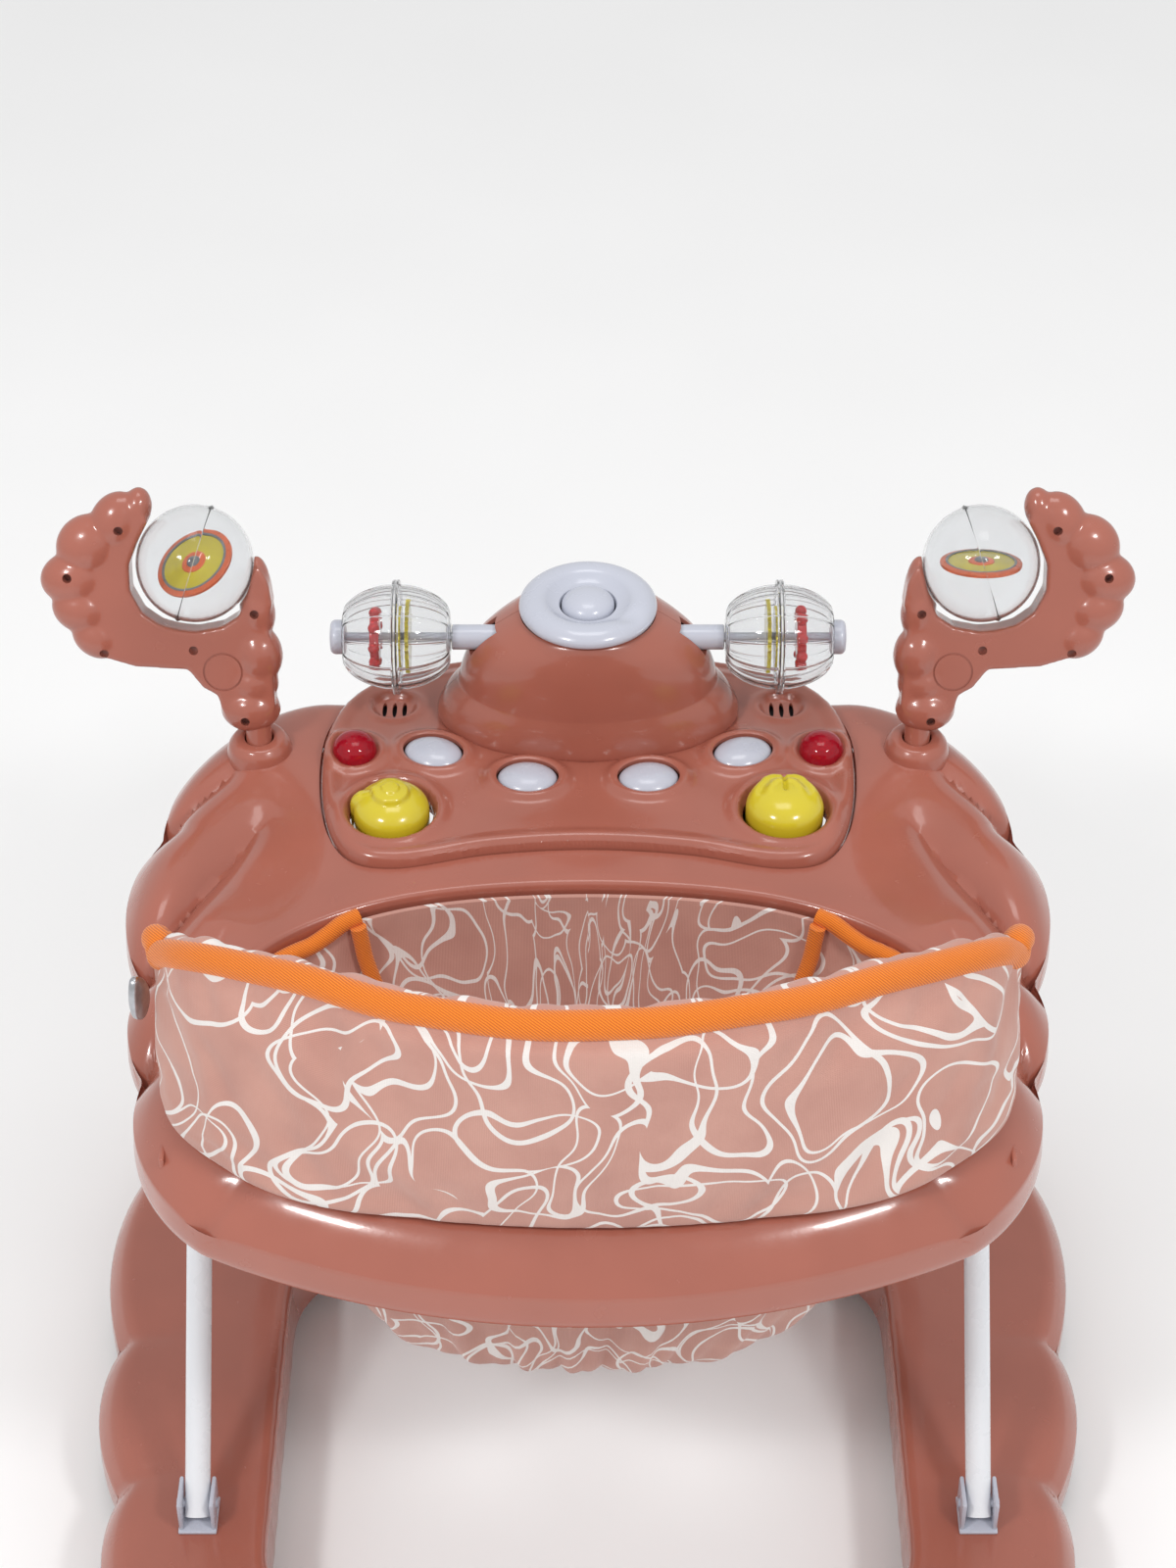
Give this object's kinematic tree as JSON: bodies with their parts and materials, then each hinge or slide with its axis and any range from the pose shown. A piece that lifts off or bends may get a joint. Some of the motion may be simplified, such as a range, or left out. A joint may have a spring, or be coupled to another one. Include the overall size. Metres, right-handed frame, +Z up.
{
  "type": "baby walker",
  "caption": "Wheeled baby walker: rolling base ring, folding X frame, lobed tray with toy panel, turning arms with clear balls, fabric seat.",
  "frame": {"origin": "on the floor, under the middle of the base ring", "axes": "+Z up, +Y towards the toys (the direction the child faces), +X to the child's right"},
  "size_m": [0.6768, 0.69, 0.5822],
  "materials": {
    "shell": "glossy terracotta moulding",
    "white_plastic": "glossy cool white moulding",
    "painted_tube": "white powder-coated steel tube",
    "steel_pin": "plain steel pin",
    "buckle_grey": "grey moulded buckle",
    "yellow_plastic": "glossy yellow moulding",
    "disc_face": "printed yellow disc with an orange rim",
    "red_lens": "translucent red lens",
    "red_plastic": "glossy red beads",
    "clear_plastic": "clear moulded plastic",
    "black_rubber": "soft black rubber",
    "wheel_tread": "dark grey wheel",
    "speaker_black": "black speaker",
    "board_green": "green circuit board",
    "seat_fabric": "peach woven fabric with white looping lines"
  },
  "bodies": {
    "base": {"base_ring": "shell", "brake_pad_front": "black_rubber", "brake_pad_rear": "black_rubber", "frame_bracket_left": "white_plastic", "frame_bracket_right": "white_plastic"},
    "caster_front_left": {"caster_fork_front_left": "white_plastic"},
    "wheel_front_left": {"caster_wheel_front_left": "wheel_tread"},
    "caster_front_right": {"caster_fork_front_right": "white_plastic"},
    "wheel_front_right": {"caster_wheel_front_right": "wheel_tread"},
    "caster_middle_left": {"caster_fork_middle_left": "white_plastic"},
    "wheel_middle_left": {"caster_wheel_middle_left": "wheel_tread"},
    "caster_middle_right": {"caster_fork_middle_right": "white_plastic"},
    "wheel_middle_right": {"caster_wheel_middle_right": "wheel_tread"},
    "caster_rear_left": {"caster_fork_rear_left": "white_plastic"},
    "wheel_rear_left": {"caster_wheel_rear_left": "wheel_tread"},
    "caster_rear_right": {"caster_fork_rear_right": "white_plastic"},
    "wheel_rear_right": {"caster_wheel_rear_right": "wheel_tread"},
    "outer_leg": {"outer_frame_tube": "painted_tube", "scissor_pin_left": "steel_pin", "scissor_pin_right": "steel_pin"},
    "inner_leg": {"inner_frame_tube": "painted_tube"},
    "tray": {"upper_tray": "shell", "toy_panel": "shell", "battery_door": "shell", "circuit_board": "board_green", "speaker": "speaker_black", "dome_front": "shell", "dome_rear": "shell", "rattle_axle": "white_plastic", "lamp_left": "red_lens", "lamp_right": "red_lens", "seat_back": "seat_fabric", "seat_sling": "seat_fabric", "seat_buckle": "buckle_grey"},
    "height_lever": {"height_lever": "white_plastic"},
    "dial": {"dial": "white_plastic"},
    "dial_button": {"dial_button": "white_plastic"},
    "rattle_left": {"rattle_shell_outer_left": "clear_plastic", "rattle_shell_inner_left": "clear_plastic", "bead_disc_left": "red_plastic", "ratchet_disc_left": "yellow_plastic"},
    "white_button_inner_left": {"white_button_inner_left": "white_plastic"},
    "white_button_outer_left": {"white_button_outer_left": "white_plastic"},
    "shaped_button_left": {"shaped_button_left": "yellow_plastic"},
    "arm_left": {"arm_front_left": "shell", "arm_rear_left": "shell"},
    "ball_left": {"ball_left": "clear_plastic", "face_disc_left": "disc_face"},
    "rattle_right": {"rattle_shell_outer_right": "clear_plastic", "rattle_shell_inner_right": "clear_plastic", "bead_disc_right": "red_plastic", "ratchet_disc_right": "yellow_plastic"},
    "white_button_inner_right": {"white_button_inner_right": "white_plastic"},
    "white_button_outer_right": {"white_button_outer_right": "white_plastic"},
    "shaped_button_right": {"shaped_button_right": "yellow_plastic"},
    "arm_right": {"arm_front_right": "shell", "arm_rear_right": "shell"},
    "ball_right": {"ball_right": "clear_plastic", "face_disc_right": "disc_face"}
  },
  "joints": [
    {"name": "swivel_front_left", "type": "hinge", "parent": "base", "child": "caster_front_left", "pos_m": [-0.17, 0.215, 0.05], "axis": [0, 0, 1], "continuous": true},
    {"name": "wheel_spin_front_left", "type": "hinge", "parent": "caster_front_left", "child": "wheel_front_left", "pos_m": [-0.17, 0.201, 0.022], "axis": [1, 0, 0], "continuous": true},
    {"name": "swivel_front_right", "type": "hinge", "parent": "base", "child": "caster_front_right", "pos_m": [0.17, 0.215, 0.05], "axis": [0, 0, 1], "continuous": true},
    {"name": "wheel_spin_front_right", "type": "hinge", "parent": "caster_front_right", "child": "wheel_front_right", "pos_m": [0.17, 0.201, 0.022], "axis": [1, 0, 0], "continuous": true},
    {"name": "swivel_middle_left", "type": "hinge", "parent": "base", "child": "caster_middle_left", "pos_m": [-0.257, 0, 0.05], "axis": [0, 0, 1], "continuous": true},
    {"name": "wheel_spin_middle_left", "type": "hinge", "parent": "caster_middle_left", "child": "wheel_middle_left", "pos_m": [-0.257, -0.014, 0.022], "axis": [1, 0, 0], "continuous": true},
    {"name": "swivel_middle_right", "type": "hinge", "parent": "base", "child": "caster_middle_right", "pos_m": [0.257, 0, 0.05], "axis": [0, 0, 1], "continuous": true},
    {"name": "wheel_spin_middle_right", "type": "hinge", "parent": "caster_middle_right", "child": "wheel_middle_right", "pos_m": [0.257, -0.014, 0.022], "axis": [1, 0, 0], "continuous": true},
    {"name": "swivel_rear_left", "type": "hinge", "parent": "base", "child": "caster_rear_left", "pos_m": [-0.12, -0.281, 0.05], "axis": [0, 0, 1], "continuous": true},
    {"name": "wheel_spin_rear_left", "type": "hinge", "parent": "caster_rear_left", "child": "wheel_rear_left", "pos_m": [-0.12, -0.295, 0.022], "axis": [1, 0, 0], "continuous": true},
    {"name": "swivel_rear_right", "type": "hinge", "parent": "base", "child": "caster_rear_right", "pos_m": [0.12, -0.281, 0.05], "axis": [0, 0, 1], "continuous": true},
    {"name": "wheel_spin_rear_right", "type": "hinge", "parent": "caster_rear_right", "child": "wheel_rear_right", "pos_m": [0.12, -0.295, 0.022], "axis": [1, 0, 0], "continuous": true},
    {"name": "frame_fold", "type": "hinge", "parent": "base", "child": "outer_leg", "pos_m": [0, -0.15, 0.08], "axis": [-1, 0, 0], "range_deg": [0, 29.5]},
    {"name": "scissor", "type": "hinge", "parent": "outer_leg", "child": "inner_leg", "pos_m": [0, -0.01385, 0.2265], "axis": [-1, 0, 0], "range_deg": [-59, 0]},
    {"name": "tray_level", "type": "hinge", "parent": "inner_leg", "child": "tray", "pos_m": [0, -0.15, 0.373], "axis": [-1, 0, 0], "range_deg": [0, 29.51]},
    {"name": "lever_press", "type": "hinge", "parent": "tray", "child": "height_lever", "pos_m": [0.106, 0.078, 0.387], "axis": [1, 0, 0], "range_deg": [0, 8], "stiffness_Nm_per_rad": 0.15, "springref_deg": -11.46},
    {"name": "dial_spin", "type": "hinge", "parent": "tray", "child": "dial", "pos_m": [0, 0.216, 0.5033], "axis": [0, 0, 1], "continuous": true},
    {"name": "dial_press", "type": "slide", "parent": "tray", "child": "dial_button", "axis": [0, 0, -1], "range_m": [0, 0.0025], "stiffness_N_per_m": 600, "springref_m": -0.001},
    {"name": "rattle_spin_left", "type": "hinge", "parent": "tray", "child": "rattle_left", "pos_m": [-0.121, 0.216, 0.481], "axis": [1, 0, 0], "continuous": true},
    {"name": "white_press_inner_left", "type": "slide", "parent": "tray", "child": "white_button_inner_left", "axis": [0, 0, -1], "range_m": [0, 0.0025], "stiffness_N_per_m": 600, "springref_m": -0.001},
    {"name": "white_press_outer_left", "type": "slide", "parent": "tray", "child": "white_button_outer_left", "axis": [0, 0, -1], "range_m": [0, 0.0025], "stiffness_N_per_m": 600, "springref_m": -0.001},
    {"name": "shaped_press_left", "type": "slide", "parent": "tray", "child": "shaped_button_left", "axis": [0, 0, -1], "range_m": [0, 0.0025], "stiffness_N_per_m": 900, "springref_m": -0.001},
    {"name": "arm_swivel_left", "type": "hinge", "parent": "tray", "child": "arm_left", "pos_m": [-0.209, 0.183, 0.427], "axis": [0, 0.342, 0.9397], "range_deg": [-60, 60]},
    {"name": "ball_spin_left", "type": "hinge", "parent": "arm_left", "child": "ball_left", "pos_m": [-0.245, 0.22199, 0.53412], "axis": [-0.9511, 0.1057, 0.2904], "continuous": true},
    {"name": "rattle_spin_right", "type": "hinge", "parent": "tray", "child": "rattle_right", "pos_m": [0.121, 0.216, 0.481], "axis": [1, 0, 0], "continuous": true},
    {"name": "white_press_inner_right", "type": "slide", "parent": "tray", "child": "white_button_inner_right", "axis": [0, 0, -1], "range_m": [0, 0.0025], "stiffness_N_per_m": 600, "springref_m": -0.001},
    {"name": "white_press_outer_right", "type": "slide", "parent": "tray", "child": "white_button_outer_right", "axis": [0, 0, -1], "range_m": [0, 0.0025], "stiffness_N_per_m": 600, "springref_m": -0.001},
    {"name": "shaped_press_right", "type": "slide", "parent": "tray", "child": "shaped_button_right", "axis": [0, 0, -1], "range_m": [0, 0.0025], "stiffness_N_per_m": 900, "springref_m": -0.001},
    {"name": "arm_swivel_right", "type": "hinge", "parent": "tray", "child": "arm_right", "pos_m": [0.209, 0.183, 0.427], "axis": [0, 0.342, 0.9397], "range_deg": [-60, 60]},
    {"name": "ball_spin_right", "type": "hinge", "parent": "arm_right", "child": "ball_right", "pos_m": [0.245, 0.22199, 0.53412], "axis": [0.9511, 0.1057, 0.2904], "continuous": true}
  ],
  "couplings": [
    {"joint": "scissor", "follows": "frame_fold", "ratio": -2},
    {"joint": "tray_level", "follows": "frame_fold", "ratio": 1}
  ]
}
